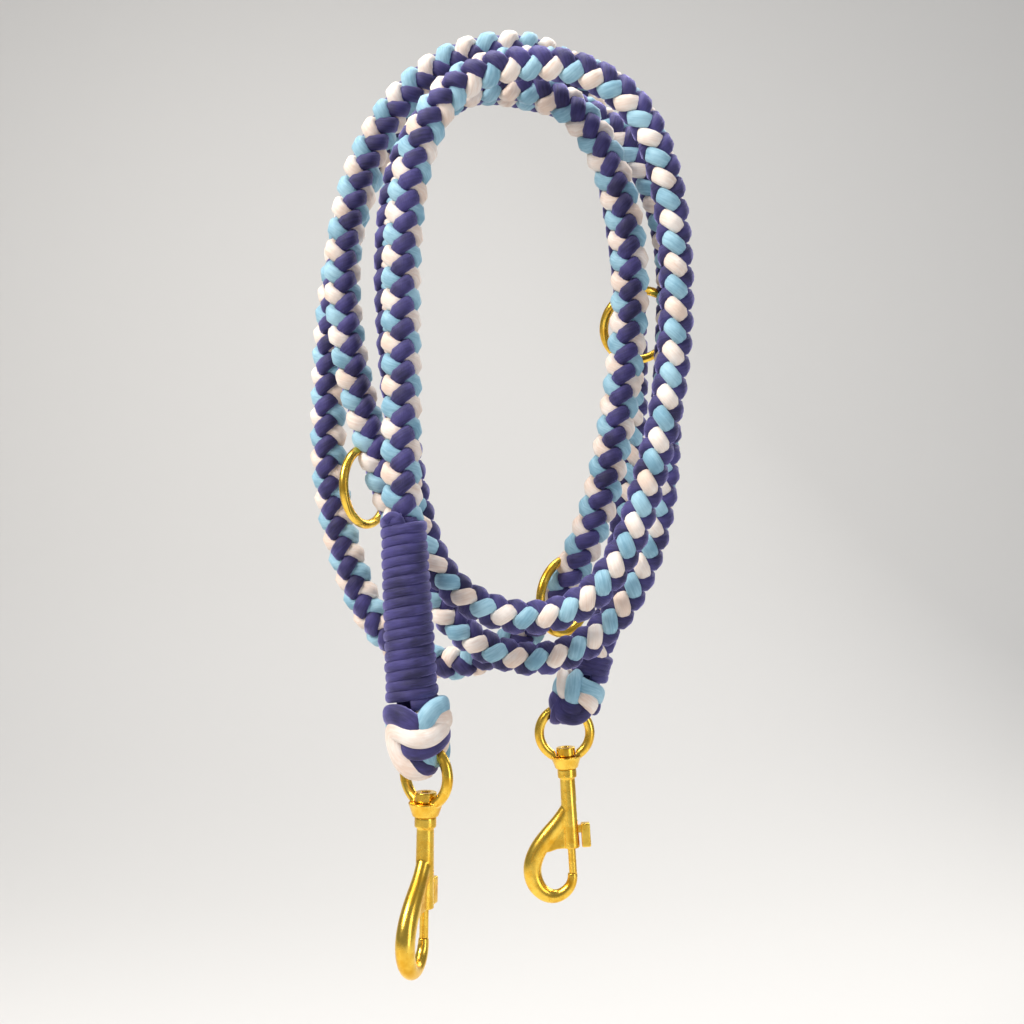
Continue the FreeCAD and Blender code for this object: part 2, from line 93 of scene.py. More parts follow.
# Both ends: top of the whipping, its direction, and the eye's top bar with its level direction.
END_A = {
    "top": Vector((-0.047, -0.058, -0.182)), "along": Vector((0.055, -0.055, -0.997)).normalized(),
    "bar": Vector((-0.0371, -0.064, -0.275)), "across": Vector((0.766, -0.643, 0.0)),
    "knot": Vector((-0.0414, -0.0622, -0.2575)), "knot_end": Vector((-0.0385, -0.0635, -0.2860)),
}
END_B = {
    "top": Vector((0.037, 0.020, -0.245)), "along": Vector((-0.301, -0.050, -0.952)).normalized(),
    "bar": Vector((0.021, 0.020, -0.2718)), "across": Vector((1.0, 0.0, 0.0)),
    "knot": Vector((0.0302, 0.0190, -0.2568)), "knot_end": Vector((0.0240, 0.0196, -0.2775)),
}


# ---------------------------------------------------------------- helpers
def deselect():
    """Nothing selected and nothing active."""
    if bpy.context.object and bpy.context.object.mode != "OBJECT":
        bpy.ops.object.mode_set(mode="OBJECT")
    bpy.ops.object.select_all(action="DESELECT")


def select_only(piece):
    """One piece selected and active."""
    deselect()
    piece.select_set(True)
    bpy.context.view_layer.objects.active = piece


def smooth_line(points, steps=8):
    """Points along the smooth NURBS line of a route, as Vectors."""
    curve = bpy.data.curves.new("line", "CURVE")
    curve.dimensions = "3D"
    curve.resolution_u = steps
    spline = curve.splines.new("NURBS")
    spline.points.add(len(points) - 1)
    for place, point in zip(spline.points, points):
        place.co = (*point, 1.0)
    spline.order_u = 3
    spline.use_endpoint_u = True
    holder = bpy.data.objects.new("line", curve)
    line = bpy.data.meshes.new_from_object(holder)
    found = [vertex.co.copy() for vertex in line.vertices]
    bpy.data.objects.remove(holder)
    bpy.data.curves.remove(curve)
    bpy.data.meshes.remove(line)
    return found


def even_steps(points, step):
    """The same line in equal steps. Returns the points and how far along the given list each one is."""
    lengths = [0.0]
    for a, b in zip(points, points[1:]):
        lengths.append(lengths[-1] + (b - a).length)
    count = max(2, round(lengths[-1] / step))
    places, shares = [], []
    run = 0
    for number in range(count + 1):
        want = lengths[-1] * number / count
        while run < len(points) - 2 and lengths[run + 1] < want:
            run += 1
        part = (want - lengths[run]) / max(lengths[run + 1] - lengths[run], 1e-9)
        places.append(points[run].lerp(points[run + 1], part))
        shares.append((run + part) / (len(points) - 1))
    return places, shares


def tangents(points):
    """Unit directions along a list of points."""
    last = len(points) - 1
    return [(points[min(k + 1, last)] - points[max(k - 1, 0)]).normalized() for k in range(last + 1)]


def facing(way):
    """The direction square to a line that faces the front."""
    return (FRONT - way * FRONT.dot(way)).normalized()


class StrandMesh:
    """Collects swept strands, each with its own material, and turns them into one object."""

    def __init__(self, name):
        self.name = name
        self.corners, self.faces, self.slots, self.uvs = [], [], [], []

    def sweep(self, centres, outwards, thick, wide, slot, around=10, flat=1.0):
        """One strand: an oval section, squarer as flat falls below 1, swept along its centres."""
        first = len(self.corners)
        ways = tangents(centres)
        travelled = 0.0
        along = []
        for number, (centre, way, outward) in enumerate(zip(centres, ways, outwards)):
            if number:
                travelled += (centre - centres[number - 1]).length
            along.append(travelled)
            radial = (outward - way * outward.dot(way)).normalized()
            side = way.cross(radial)
            for step in range(around):
                angle = 2 * math.pi * step / around
                lift = math.copysign(abs(math.cos(angle)) ** flat, math.cos(angle))
                spread = math.copysign(abs(math.sin(angle)) ** flat, math.sin(angle))
                self.corners.append(centre + radial * thick * lift + side * wide * spread)
        for ring in range(len(centres) - 1):
            for step in range(around):
                after = (step + 1) % around
                low = first + ring * around
                self.faces.append((low + step, low + after, low + around + after, low + around + step))
                self.slots.append(slot)
                u0, u1 = along[ring] * UV_PER_METRE, along[ring + 1] * UV_PER_METRE
                v0, v1 = step / around, (step + 1) / around
                self.uvs.append(((u0, v0), (u0, v1), (u1, v1), (u1, v0)))
        end = first + (len(centres) - 1) * around
        self.faces.append(tuple(first + step for step in reversed(range(around))))
        self.faces.append(tuple(end + step for step in range(around)))
        self.slots += [slot, slot]
        self.uvs += [((0.0, 0.5),) * around, ((travelled * UV_PER_METRE, 0.5),) * around]

    def make(self, materials):
        """The finished object, with a UV that runs along each strand and round it."""
        mesh = bpy.data.meshes.new(self.name)
        mesh.from_pydata([tuple(corner) for corner in self.corners], [], self.faces)
        layer = mesh.uv_layers.new(name="strand")
        loop = 0
        for face, corners in zip(mesh.polygons, self.uvs):
            face.material_index = self.slots[face.index]
            face.use_smooth = True
            for corner in corners:
                layer.data[loop].uv = corner
                loop += 1
        for material in materials:
            mesh.materials.append(material)
        piece = bpy.data.objects.new(self.name, mesh)
        bpy.context.scene.collection.objects.link(piece)
        return piece


# ---------------------------------------------------------------- materials
def new_material(name):
    """A node material with its shader and its links at hand."""
    material = bpy.data.materials.new(name)
    material.use_nodes = True
    nodes = material.node_tree.nodes
    return material, nodes, material.node_tree.links, nodes["Principled BSDF"]


def cord_material(name, colour, lit, lift, sheen, tint):
    """Smooth braided polyester cord: fine fibres along the strand, a painted highlight where the lit tone
    is mixed into the shaded tone in streaks and patches, a soft sheen.
    """
    material, nodes, links, shader = new_material(name)
    place = nodes.new("ShaderNodeUVMap")
    place.uv_map = "strand"
    stretch = nodes.new("ShaderNodeMapping")
    stretch.inputs["Scale"].default_value = (2.2, 26.0, 1.0)
    fibres = nodes.new("ShaderNodeTexNoise")
    fibres.inputs["Scale"].default_value = 1.0
    fibres.inputs["Detail"].default_value = 4.0
    weave = nodes.new("ShaderNodeTexWave")
    weave.wave_type = "BANDS"
    weave.bands_direction = "DIAGONAL"
    weave.inputs["Scale"].default_value = 3.2
    weave.inputs["Distortion"].default_value = 1.2
    weave_place = nodes.new("ShaderNodeMapping")
    weave_place.inputs["Scale"].default_value = (4.0, 5.0, 1.0)
    where = nodes.new("ShaderNodeTexCoord")
    patches = nodes.new("ShaderNodeTexNoise")
    patches.inputs["Scale"].default_value = 70.0
    patches.inputs["Detail"].default_value = 3.0
    # Painted highlight: the base colour runs from the cord's shaded tone to its lit tone, in streaks along
    # the fibres and in patches.
    tones = nodes.new("ShaderNodeMix")
    tones.data_type = "RGBA"
    tones.inputs["A"].default_value = (*colour, 1.0)
    tones.inputs["B"].default_value = (*lit, 1.0)
    spread = nodes.new("ShaderNodeMapRange")
    spread.inputs["From Min"].default_value = 0.62
    spread.inputs["From Max"].default_value = 0.95
    painted_highlight_mask = nodes.new("ShaderNodeMath")
    painted_highlight_mask.operation = "MULTIPLY_ADD"
    painted_highlight_mask.inputs[1].default_value = 0.55
    bump = nodes.new("ShaderNodeBump")
    bump.inputs["Strength"].default_value = 0.5
    bump.inputs["Distance"].default_value = 0.00035 * lift
    fine = nodes.new("ShaderNodeBump")
    fine.inputs["Strength"].default_value = 0.3
    fine.inputs["Distance"].default_value = 0.0003 * lift
    links.new(place.outputs["UV"], stretch.inputs["Vector"])
    links.new(stretch.outputs["Vector"], fibres.inputs["Vector"])
    links.new(place.outputs["UV"], weave_place.inputs["Vector"])
    links.new(weave_place.outputs["Vector"], weave.inputs["Vector"])
    links.new(where.outputs["Object"], patches.inputs["Vector"])
    links.new(patches.outputs["Fac"], painted_highlight_mask.inputs[2])
    links.new(fibres.outputs["Fac"], painted_highlight_mask.inputs[0])
    links.new(painted_highlight_mask.outputs["Value"], spread.inputs["Value"])
    links.new(spread.outputs["Result"], tones.inputs["Factor"])
    links.new(tones.outputs["Result"], shader.inputs["Base Color"])
    links.new(fibres.outputs["Fac"], bump.inputs["Height"])
    links.new(weave.outputs["Fac"], fine.inputs["Height"])
    links.new(bump.outputs["Normal"], fine.inputs["Normal"])
    links.new(fine.outputs["Normal"], shader.inputs["Normal"])
    shader.inputs["Roughness"].default_value = 0.62
    shader.inputs["Specular IOR Level"].default_value = 0.4
    shader.inputs["Sheen Weight"].default_value = sheen
    shader.inputs["Sheen Roughness"].default_value = 0.4
    shader.inputs["Sheen Tint"].default_value = (*tint, 1.0)
    return material


def gold_material(name, colour, shade, roughness):
    """Gold-finished cast metal: polished, slightly uneven, with painted shade as a browner shaded copy of
    the gold in patches, with hairlines.
    """
    material, nodes, links, shader = new_material(name)
    where = nodes.new("ShaderNodeTexCoord")
    patches = nodes.new("ShaderNodeTexNoise")
    patches.inputs["Scale"].default_value = 160.0
    patches.inputs["Detail"].default_value = 6.0
    patches.inputs["Roughness"].default_value = 0.6
    # Painted shade: the base colour runs from the shaded copy of the gold to the gold itself in noise
    # patches.
    painted_shade_ramp = nodes.new("ShaderNodeValToRGB")
    painted_shade_ramp.color_ramp.elements[0].position = 0.32
    painted_shade_ramp.color_ramp.elements[0].color = (*shade, 1.0)
    painted_shade_ramp.color_ramp.elements[1].position = 0.58
    painted_shade_ramp.color_ramp.elements[1].color = (*colour, 1.0)
    rough = nodes.new("ShaderNodeMapRange")
    rough.inputs["From Min"].default_value = 0.3
    rough.inputs["From Max"].default_value = 0.7
    rough.inputs["To Min"].default_value = roughness + 0.14
    rough.inputs["To Max"].default_value = roughness
    hairlines = nodes.new("ShaderNodeTexNoise")
    hairlines.inputs["Scale"].default_value = 1.0
    hairlines.inputs["Detail"].default_value = 3.0
    stretch = nodes.new("ShaderNodeMapping")
    stretch.inputs["Scale"].default_value = (900.0, 900.0, 120.0)
    cast = nodes.new("ShaderNodeBump")
    cast.inputs["Strength"].default_value = 0.35
    cast.inputs["Distance"].default_value = 0.0003
    scratch = nodes.new("ShaderNodeBump")
    scratch.inputs["Strength"].default_value = 0.12
    scratch.inputs["Distance"].default_value = 0.0001
    links.new(where.outputs["Object"], patches.inputs["Vector"])
    links.new(patches.outputs["Fac"], painted_shade_ramp.inputs["Fac"])
    links.new(painted_shade_ramp.outputs["Color"], shader.inputs["Base Color"])
    links.new(patches.outputs["Fac"], rough.inputs["Value"])
    links.new(rough.outputs["Result"], shader.inputs["Roughness"])
    links.new(where.outputs["Object"], stretch.inputs["Vector"])
    links.new(stretch.outputs["Vector"], hairlines.inputs["Vector"])
    links.new(patches.outputs["Fac"], cast.inputs["Height"])
    links.new(hairlines.outputs["Fac"], scratch.inputs["Height"])
    links.new(cast.outputs["Normal"], scratch.inputs["Normal"])
    links.new(scratch.outputs["Normal"], shader.inputs["Normal"])
    shader.inputs["Metallic"].default_value = 1.0
    return material


MATERIALS = {}


def rope_materials(settings):
    """Navy, light blue and white cord, made once."""
    if "navy_cord" not in MATERIALS:
        MATERIALS["navy_cord"] = cord_material(
            "navy_cord", settings.navy, settings.navy_lit, 1.0, 1.0, (0.52, 0.48, 1.0))
        MATERIALS["light_blue_cord"] = cord_material(
            "light_blue_cord", settings.light_blue, settings.light_blue_lit, 0.8, 0.3, (0.8, 0.9, 1.0))
        MATERIALS["white_cord"] = cord_material(
            "white_cord", settings.white, settings.white_lit, 0.8, 0.3, (1.0, 0.95, 0.9))
    return [MATERIALS[name] for name in ("navy_cord", "light_blue_cord", "white_cord")]


NAVY, BLUE, WHITE = 0, 1, 2


def gold_finish(settings):
    """The gold finish, made once."""
    if "gold_finish" not in MATERIALS:
        MATERIALS["gold_finish"] = gold_material(
            "gold_finish", settings.gold, settings.gold_shade, settings.gold_roughness)
    return MATERIALS["gold_finish"]


def spring_steel():
    """Plain drawn spring wire."""
    material, nodes, links, shader = new_material("spring_steel")
    where = nodes.new("ShaderNodeTexCoord")
    drawn = nodes.new("ShaderNodeTexNoise")
    drawn.inputs["Scale"].default_value = 600.0
    tones = nodes.new("ShaderNodeValToRGB")
    tones.color_ramp.elements[0].color = (0.30, 0.30, 0.31, 1.0)
    tones.color_ramp.elements[1].color = (0.62, 0.62, 0.63, 1.0)
    links.new(where.outputs["Object"], drawn.inputs["Vector"])
    links.new(drawn.outputs["Fac"], tones.inputs["Fac"])
    links.new(tones.outputs["Color"], shader.inputs["Base Color"])
    shader.inputs["Metallic"].default_value = 1.0
    shader.inputs["Roughness"].default_value = 0.32
    return material


# ---------------------------------------------------------------- settings
class LeadRopeSettings(PropertyGroup):
    """Sizes and colours of the rope."""

    # Each cord colour is a shaded tone with a lit tone beside it; the lit tone is painted highlight, mixed
    # into the base colour in streaks and patches, not placed by where the folds and crowns are.
    navy: FloatVectorProperty(
        name="Navy", description="Navy cord in the folds", subtype="COLOR", default=(0.014, 0.011, 0.058))
    navy_lit: FloatVectorProperty(
        name="Navy lit", description="Navy cord on the crowns", subtype="COLOR",
        default=(0.054, 0.045, 0.190))
    light_blue: FloatVectorProperty(
        name="Light blue", description="Light blue cord", subtype="COLOR", default=(0.19, 0.38, 0.50))
    light_blue_lit: FloatVectorProperty(
        name="Light blue lit", description="Light blue on the crowns", subtype="COLOR",
        default=(0.38, 0.62, 0.74))
    white: FloatVectorProperty(
        name="White", description="White cord", subtype="COLOR", default=(0.80, 0.62, 0.51))
    white_lit: FloatVectorProperty(
        name="White lit", description="White cord on the crowns", subtype="COLOR",
        default=(0.95, 0.86, 0.79))
    gold: FloatVectorProperty(
        name="Gold", description="Finish of the snaps and rings", subtype="COLOR",
        default=(1.0, 0.66, 0.10))
    # The gold shade is painted shade: a darker, browner shaded copy of the gold, mixed into the base colour
    # in patches.
    gold_shade: FloatVectorProperty(
        name="Gold shade", description="Finish where it is dulled", subtype="COLOR",
        default=(0.80, 0.42, 0.03))
    gold_roughness: FloatProperty(
        name="Gold roughness", description="How satin the finish is", default=0.2, min=0.05, max=0.8)
    braid_lead: FloatProperty(
        name="Braid lead", description="Rope length in which a strand comes back to its column",
        default=18.5 * MM, unit="LENGTH")
    braid_wide: FloatProperty(
        name="Braid width", description="Across the light columns", default=17.4 * MM, unit="LENGTH")
    braid_thick: FloatProperty(
        name="Braid thickness", description="Across the navy columns", default=14.4 * MM, unit="LENGTH")
    strand_thick: FloatProperty(
        name="Strand thickness", description="Half thickness of a strand", default=2.6 * MM,
        unit="LENGTH")
    strand_wide: FloatProperty(
        name="Strand width", description="Half width of a strand", default=3.4 * MM, unit="LENGTH")
    whipping_cord: FloatProperty(
        name="Whipping cord", description="Diameter of the whipping cord", default=4.3 * MM,
        unit="LENGTH")
    whipping_turns_a: IntProperty(
        name="Long whipping turns", description="Turns of cord on the long whipping", default=18)
    whipping_turns_b: IntProperty(
        name="Short whipping turns", description="Turns of cord on the short whipping", default=4)
    knot_strand: FloatProperty(
        name="Knot strand", description="Half width of a strand in the crown knots", default=3.9 * MM,
        unit="LENGTH")


# ---------------------------------------------------------------- the braid
def braid_turn(share):
    """How far the braid is turned at a share of the route, in radians."""
    place = share * (len(ROUTE) - 1)
    for (low, before), (high, after) in zip(BRAID_TURNS, BRAID_TURNS[1:]):
        if place <= high:
            part = max(0.0, (place - low) / (high - low))
            return math.radians(before + (after - before) * part)
    return math.radians(BRAID_TURNS[-1][1])


def braid_frames(centres, shares):
    """At each step, the directions of the navy and of the light columns."""
    frames = []
    for way, share in zip(tangents(centres), shares):
        front = facing(way)
        side = way.cross(front)
        turn = braid_turn(share)
        frames.append((front * math.cos(turn) + side * math.sin(turn),
                       side * math.cos(turn) - front * math.sin(turn)))
    return frames


class LEADROPE_OT_braid(Operator):
    """Braid four strands along the hung route: two navy ones against a light blue and a white one"""

    bl_idname = "leadrope.braid"
    bl_label = "Braid"

    def execute(self, context):
        settings = context.scene.lead_rope
        line = smooth_line(ROUTE, 10)
        centres, shares = even_steps(line, settings.braid_lead / 12)
        length = sum((b - a).length for a, b in zip(centres, centres[1:]))
        step = length / (len(centres) - 1)
        lead_in = 4
        starts = [centres[0] + (centres[0] - centres[1]) * number for number in range(lead_in, 0, -1)]
        ends = [centres[-1] + (centres[-1] - centres[-2]) * (number + 1) for number in range(lead_in)]
        whole = starts + centres + ends
        parts = [0.0] * lead_in + shares + [1.0] * lead_in
        frames = braid_frames(whole, parts)
        # How far out a strand runs, how far it rises and dives, how its turning eases on the crowns,
        # and how long it stays there before diving.
        middle, wander, hurry, squareness = 4.3 * MM, 1.6 * MM, 0.2, 1.7
        outside = middle + wander + settings.strand_thick
        navy_scale = settings.braid_thick / 2 / outside
        light_scale = settings.braid_wide / 2 / outside
        braid = StrandMesh("four_strand_braid")
        for lay, start, slot in ((1, 0, NAVY), (1, 1, NAVY), (-1, 0, WHITE), (-1, 1, BLUE)):
            strand, outwards = [], []
            for number, (centre, (navy_way, light_way)) in enumerate(zip(whole, frames)):
                phase = 2 * math.pi * number * step / settings.braid_lead
                angle = lay * phase - hurry * math.sin(2 * phase) + start * math.pi
                wave = math.tanh(squareness * math.cos(2 * phase)) / math.tanh(squareness)
                reach = middle + lay * wander * wave
                outward = (navy_way * navy_scale * math.cos(angle)
                           + light_way * light_scale * math.sin(angle))
                strand.append(centre + outward * reach)
                outwards.append(outward)
            braid.sweep(strand, outwards, settings.strand_thick, settings.strand_wide, slot,
                        around=12, flat=0.8)
        rope = braid.make(rope_materials(settings))
        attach(rope, "rope")
        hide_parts("braided_rope")
        return {"FINISHED"}


# ---------------------------------------------------------------- whippings
def wind(name, end, length, radius_top, radius_end, turns, settings):
    """Whipping cord wound round a rope end, over a plain core, with its end tucked in at the top."""
    along = end["along"]
    front = facing(along)
    side = front.cross(along)
    half = settings.whipping_cord / 2
    steps, slope = 30, math.tan(math.radians(4.0))
    centres, outwards = [], []
    for number in range(turns * steps + 1):
        share = number / (turns * steps)
        angle = 2 * math.pi * share * turns
        waver = 0.12 * MM * math.sin(angle * 0.37) + 0.10 * MM * math.sin(angle * 1.7)
        radius = radius_top + (radius_end - radius_top) * share - half + waver
        outward = front * math.cos(angle) - side * math.sin(angle)
        drop = half + (length - 2 * half) * share
        fade = min(1.0, 6 * share, 6 - 6 * share)
        tilt = -slope * outward.dot(side) * radius * fade
        centres.append(end["top"] + along * (drop + tilt) + outward * radius)
        outwards.append(outward)
    winding = StrandMesh(name)
    overlap = 1.05
    pitch_half = length / turns / 2 * overlap
    winding.sweep(centres, outwards, half * 0.9, max(pitch_half, half), NAVY, around=14, flat=0.78)
    core_top, core_end = end["top"] + along * (1.5 * MM), end["top"] + along * (length - 0.5 * MM)
    core = [core_top.lerp(core_end, number / 6) for number in range(7)]
    winding.sweep(core, [front] * len(core), 6.4 * MM, 6.4 * MM, NAVY, around=24)
    tuck = [centres[0] + along * (4.0 * MM) - front * (0.6 * MM), centres[0] + front * (0.4 * MM),
            centres[0] - side * (4.6 * MM) - along * (2.4 * MM),
            centres[0] - side * (6.8 * MM) + along * (0.6 * MM)]
    tip = smooth_line(tuck, 6)
    winding.sweep(tip, [front] * len(tip), half * 0.72, half * 0.8, NAVY, around=10)
    return winding.make(rope_materials(settings))


class LEADROPE_OT_whippings(Operator):
    """Wind the navy cord over both rope ends"""

    bl_idname = "leadrope.whippings"
    bl_label = "Whippings"

    def execute(self, context):
        settings = context.scene.lead_rope
        long_one = wind("long_whipping", END_A, 78.6 * MM, 9.6 * MM, 11.0 * MM,
                        settings.whipping_turns_a, settings)
        short_one = wind("short_whipping", END_B, 14.7 * MM, 8.5 * MM, 9.0 * MM,
                         settings.whipping_turns_b, settings)
        for piece, node in ((long_one, "whipping_a"), (short_one, "whipping_b")):
            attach(piece, "rope")
            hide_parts(node)
        return {"FINISHED"}


# ---------------------------------------------------------------- crown knots
# Strands over the knots: colour, half width in mm, and points as degrees round the knot (0 in front and
# positive to the right), distance from its axis and height (negative below its top), both in mm.
KNOT_A = [
    (NAVY, 4.3, [(-150, 5, -4), (-112, 10.5, -5), (-72, 11.6, -4), (-38, 11.6, -3.4), (-10, 11.6, -6.6),
                 (10, 9.5, -11), (22, 5, -13)]),
    (BLUE, 4.0, [(150, 6, -3), (105, 11.3, -2.6), (65, 11.4, -2.0), (36, 11.4, -3.2), (18, 11.4, -7.0),
                 (4, 9.5, -12), (-8, 5, -15)]),
    (WHITE, 4.3, [(10, 6, -4.6), (34, 10.4, -6.2), (64, 11.6, -7), (100, 11.4, -8), (140, 11, -9.5),
                  (175, 6, -11)]),
    (WHITE, 4.3, [(125, 6, -9), (84, 10.4, -9.6), (52, 11.3, -11), (24, 11.8, -13.6), (-4, 11.6, -13.4),
                  (-30, 11.2, -10.6), (-52, 11, -9.6), (-66, 11, -12), (-62, 10.6, -18), (-46, 9.0, -24),
                  (-10, 7.4, -27), (30, 4, -26)]),
    (NAVY, 4.1, [(-52, 5, -12), (-34, 8.6, -16.4), (-8, 9.8, -18.6), (20, 10.2, -18), (50, 10.4, -15.6),
                 (85, 10.4, -13), (130, 10.2, -12.5), (170, 6, -12)]),
    (NAVY, 3.8, [(-48, 4, -17), (-30, 7.6, -20.5), (-2, 8.0, -24), (34, 7.0, -26), (70, 4, -24)]),
    (BLUE, 3.2, [(0, 5, -17), (22, 8.0, -19), (30, 8.2, -22), (38, 6.4, -25.5)]),
    (WHITE, 3.4, [(96, 6, -12), (88, 9.8, -15), (86, 9.2, -19), (84, 6.5, -22)]),
    (BLUE, 3.8, [(-118, 5, -5), (-92, 10.2, -6.6), (-76, 10.6, -9.4), (-60, 9.4, -12), (-50, 5, -14)]),
    (BLUE, 4.2, [(-140, 5, -1), (-150, 10.4, -2.6), (-165, 11.2, -4.4), (175, 11.5, -8.5), (162, 10.6, -13),
                 (150, 6, -15)]),
    (NAVY, 4.2, [(110, 5, -3), (135, 10.8, -3.6), (165, 11.6, -4.2), (-162, 11.2, -8), (-132, 10.2, -12.5),
                 (-110, 6, -15)]),
    (WHITE, 4.2, [(-86, 6, -12), (-112, 10.6, -12.6), (-142, 11.2, -14), (-172, 10.8, -15.4),
                  (154, 10.2, -14), (130, 6, -13)]),
    (NAVY, 4.0, [(-80, 5, -16), (-110, 8.8, -19), (-150, 9.0, -22), (175, 8.0, -24), (140, 5, -22)]),
    (BLUE, 4.0, [(100, 5, -17), (130, 9.2, -18.6), (165, 9.6, -19.6), (-160, 8.6, -19), (-130, 5, -18)]),
]
# Bights round the eye's top bar: colour, half width, place along the bar and reach from it, in mm.
BIGHTS_A = [(WHITE, 3.3, -4.2, 6.2), (NAVY, 3.2, 0.4, 6.2), (BLUE, 2.8, 4.4, 5.6)]

KNOT_B = [
    (WHITE, 3.5, [(-130, 5, -2.4), (-100, 9.4, -2.4), (-70, 9.6, -2.6), (-56, 9.8, -5.6), (-44, 9.4, -9.4),
                  (-34, 5, -12)]),
    (BLUE, 3.3, [(-150, 6, -6), (-115, 9.8, -5.6), (-90, 9.9, -7.4), (-80, 9.3, -11), (-66, 5, -13)]),
    (BLUE, 3.6, [(-38, 5, 0), (-26, 9.6, -1.4), (-20, 10.6, -5), (-17, 10.4, -9), (-12, 6, -12.5)]),
    (BLUE, 3.5, [(-12, 6, -3), (6, 9.8, -3.4), (34, 10.2, -3.8), (64, 10.2, -5.2), (90, 10, -7.8),
                 (108, 9, -11), (125, 5, -13)]),
    (WHITE, 3.6, [(-6, 5, -6.8), (10, 9.6, -7.8), (32, 10.2, -9.6), (56, 10, -12), (84, 7, -14)]),
    (NAVY, 3.5, [(60, 6, -12), (76, 9.6, -13), (96, 10, -12.6), (130, 9.8, -10), (165, 5, -8)]),
    (NAVY, 3.6, [(-110, 6, -10), (-92, 9.8, -12), (-72, 9.8, -15.4), (-40, 8.4, -18.8), (-2, 8.0, -19.6),
                 (30, 8.0, -17.4), (46, 8.2, -14), (60, 5, -11)]),
    (NAVY, 3.3, [(-70, 4, -10.5), (-44, 8.4, -13.6), (-16, 8.4, -15.6), (16, 8.2, -14.6), (36, 5, -12)]),
    (NAVY, 3.5, [(95, 5, -2), (125, 9.8, -3), (155, 10, -5), (-175, 9.8, -8.5), (-145, 9.6, -11),
                 (-120, 5, -13)]),
    (WHITE, 3.5, [(-120, 6, -3), (-145, 9.8, -3.2), (-175, 10.2, -5.6), (150, 9.8, -9), (125, 5, -11.5)]),
    (BLUE, 3.4, [(150, 5, -12), (170, 9.4, -12.2), (-160, 9.8, -12), (-125, 9.6, -11.5), (-100, 5, -11)]),
    (NAVY, 3.5, [(80, 5, -12), (110, 8.8, -14.6), (150, 8.8, -17.6), (-170, 8.6, -18.4), (-130, 8.8, -16),
                 (-105, 5, -12)]),
]
BIGHTS_B = [(NAVY, 2.9, -3.4, 5.2), (NAVY, 2.9, 1.0, 5.2), (NAVY, 2.6, 4.6, 4.9)]


def knot_point(end, degrees, reach, height):
    """A point of a knot from its angle round the axis, its reach and its height."""
    along = (end["knot_end"] - end["knot"]).normalized()
    front = facing(along)
    side = front.cross(along)
    angle = math.radians(degrees)
    outward = front * math.cos(angle) + side * math.sin(angle)
    return end["knot"] - along * (height * MM) + outward * (reach * MM)


def tie_knot(name, end, strands, bights, settings):
    """The crown knot: flattened strands laid over each other and the bights round the eye."""
    thinness, squareness = 0.74, 0.85
    knot = StrandMesh(name)
    along = (end["knot_end"] - end["knot"]).normalized()
    scale = settings.knot_strand / (3.9 * MM)
    for slot, width, points in strands:
        line = smooth_line([knot_point(end, *point) for point in points], 7)
        outwards = []
        for point in line:
            foot = end["knot"] + along * (point - end["knot"]).dot(along)
            outwards.append((point - foot).normalized())
        knot.sweep(line, outwards, width * thinness * MM * scale, width * MM * scale, slot,
                   around=16, flat=squareness)
    across = end["across"]
    forward = Vector((across.y, -across.x, 0.0)).normalized()
    up = Vector((0.0, 0.0, 1.0))
    for slot, width, offset, reach in bights:
        middle = end["bar"] + across * (offset * MM)
        shape = [(0.3, 10.0), (0.9, 6.0), (1.2, 1.0), (0.95, -1.1 * reach), (-0.95, -1.1 * reach),
                 (-1.2, 1.0), (-0.9, 6.0), (-0.3, 10.0)]
        aside = end["knot"] + along * (middle - end["knot"]).dot(along) - middle
        path = [middle + forward * (out * reach * MM) + up * (rise * MM) + aside * max(rise, 0.0) * 0.08
                for out, rise in shape]
        line = smooth_line(path, 7)
        outwards = []
        for point in line:
            out = point - middle
            out.z = min(out.z, 0.0)
            outwards.append((out - across * out.dot(across)).normalized())
        knot.sweep(line, outwards, width * thinness * MM, width * MM, slot,
                   around=16, flat=squareness)
    core = [knot_point(end, 0, 0, height) for height in (-2.0, -4.0, -6.5, -9.0, -11.0, -13.0)]
    knot.sweep(core, [FRONT] * len(core), 7.6 * MM, 7.6 * MM, NAVY, around=20)
    return knot.make(rope_materials(settings))


class LEADROPE_OT_knots(Operator):
    """Tie the crown knots and their bights round the eyes"""

    bl_idname = "leadrope.knots"
    bl_label = "Crown knots"

    def execute(self, context):
        settings = context.scene.lead_rope
        first = tie_knot("crown_knot_long_end", END_A, KNOT_A, BIGHTS_A, settings)
        second = tie_knot("crown_knot_short_end", END_B, KNOT_B, BIGHTS_B, settings)
        for piece, letter in ((first, "a"), (second, "b")):
            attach(piece, "rope")
            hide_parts("crown_knot_" + letter, "end_loop_" + letter)
        return {"FINISHED"}


# ---------------------------------------------------------------- metal pieces
def copy_of(node, name):
    """A free copy of a metal piece."""
    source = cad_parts[node]
    piece = source.copy()
    piece.data = source.data.copy()
    piece.name = name
    piece.data.name = name
    piece.parent = None
    bpy.context.scene.collection.objects.link(piece)
    return piece


def closing_spring(letter, steel):
    """A spring-steel copy of the coil spring that rides on the hook, with a mesh of its own."""
    piece = copy_of("spring_" + letter, "coil_spring_" + letter)
    paint(piece, steel)
    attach(piece, "hook_" + letter)
    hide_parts("spring_" + letter)
    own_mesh(piece)


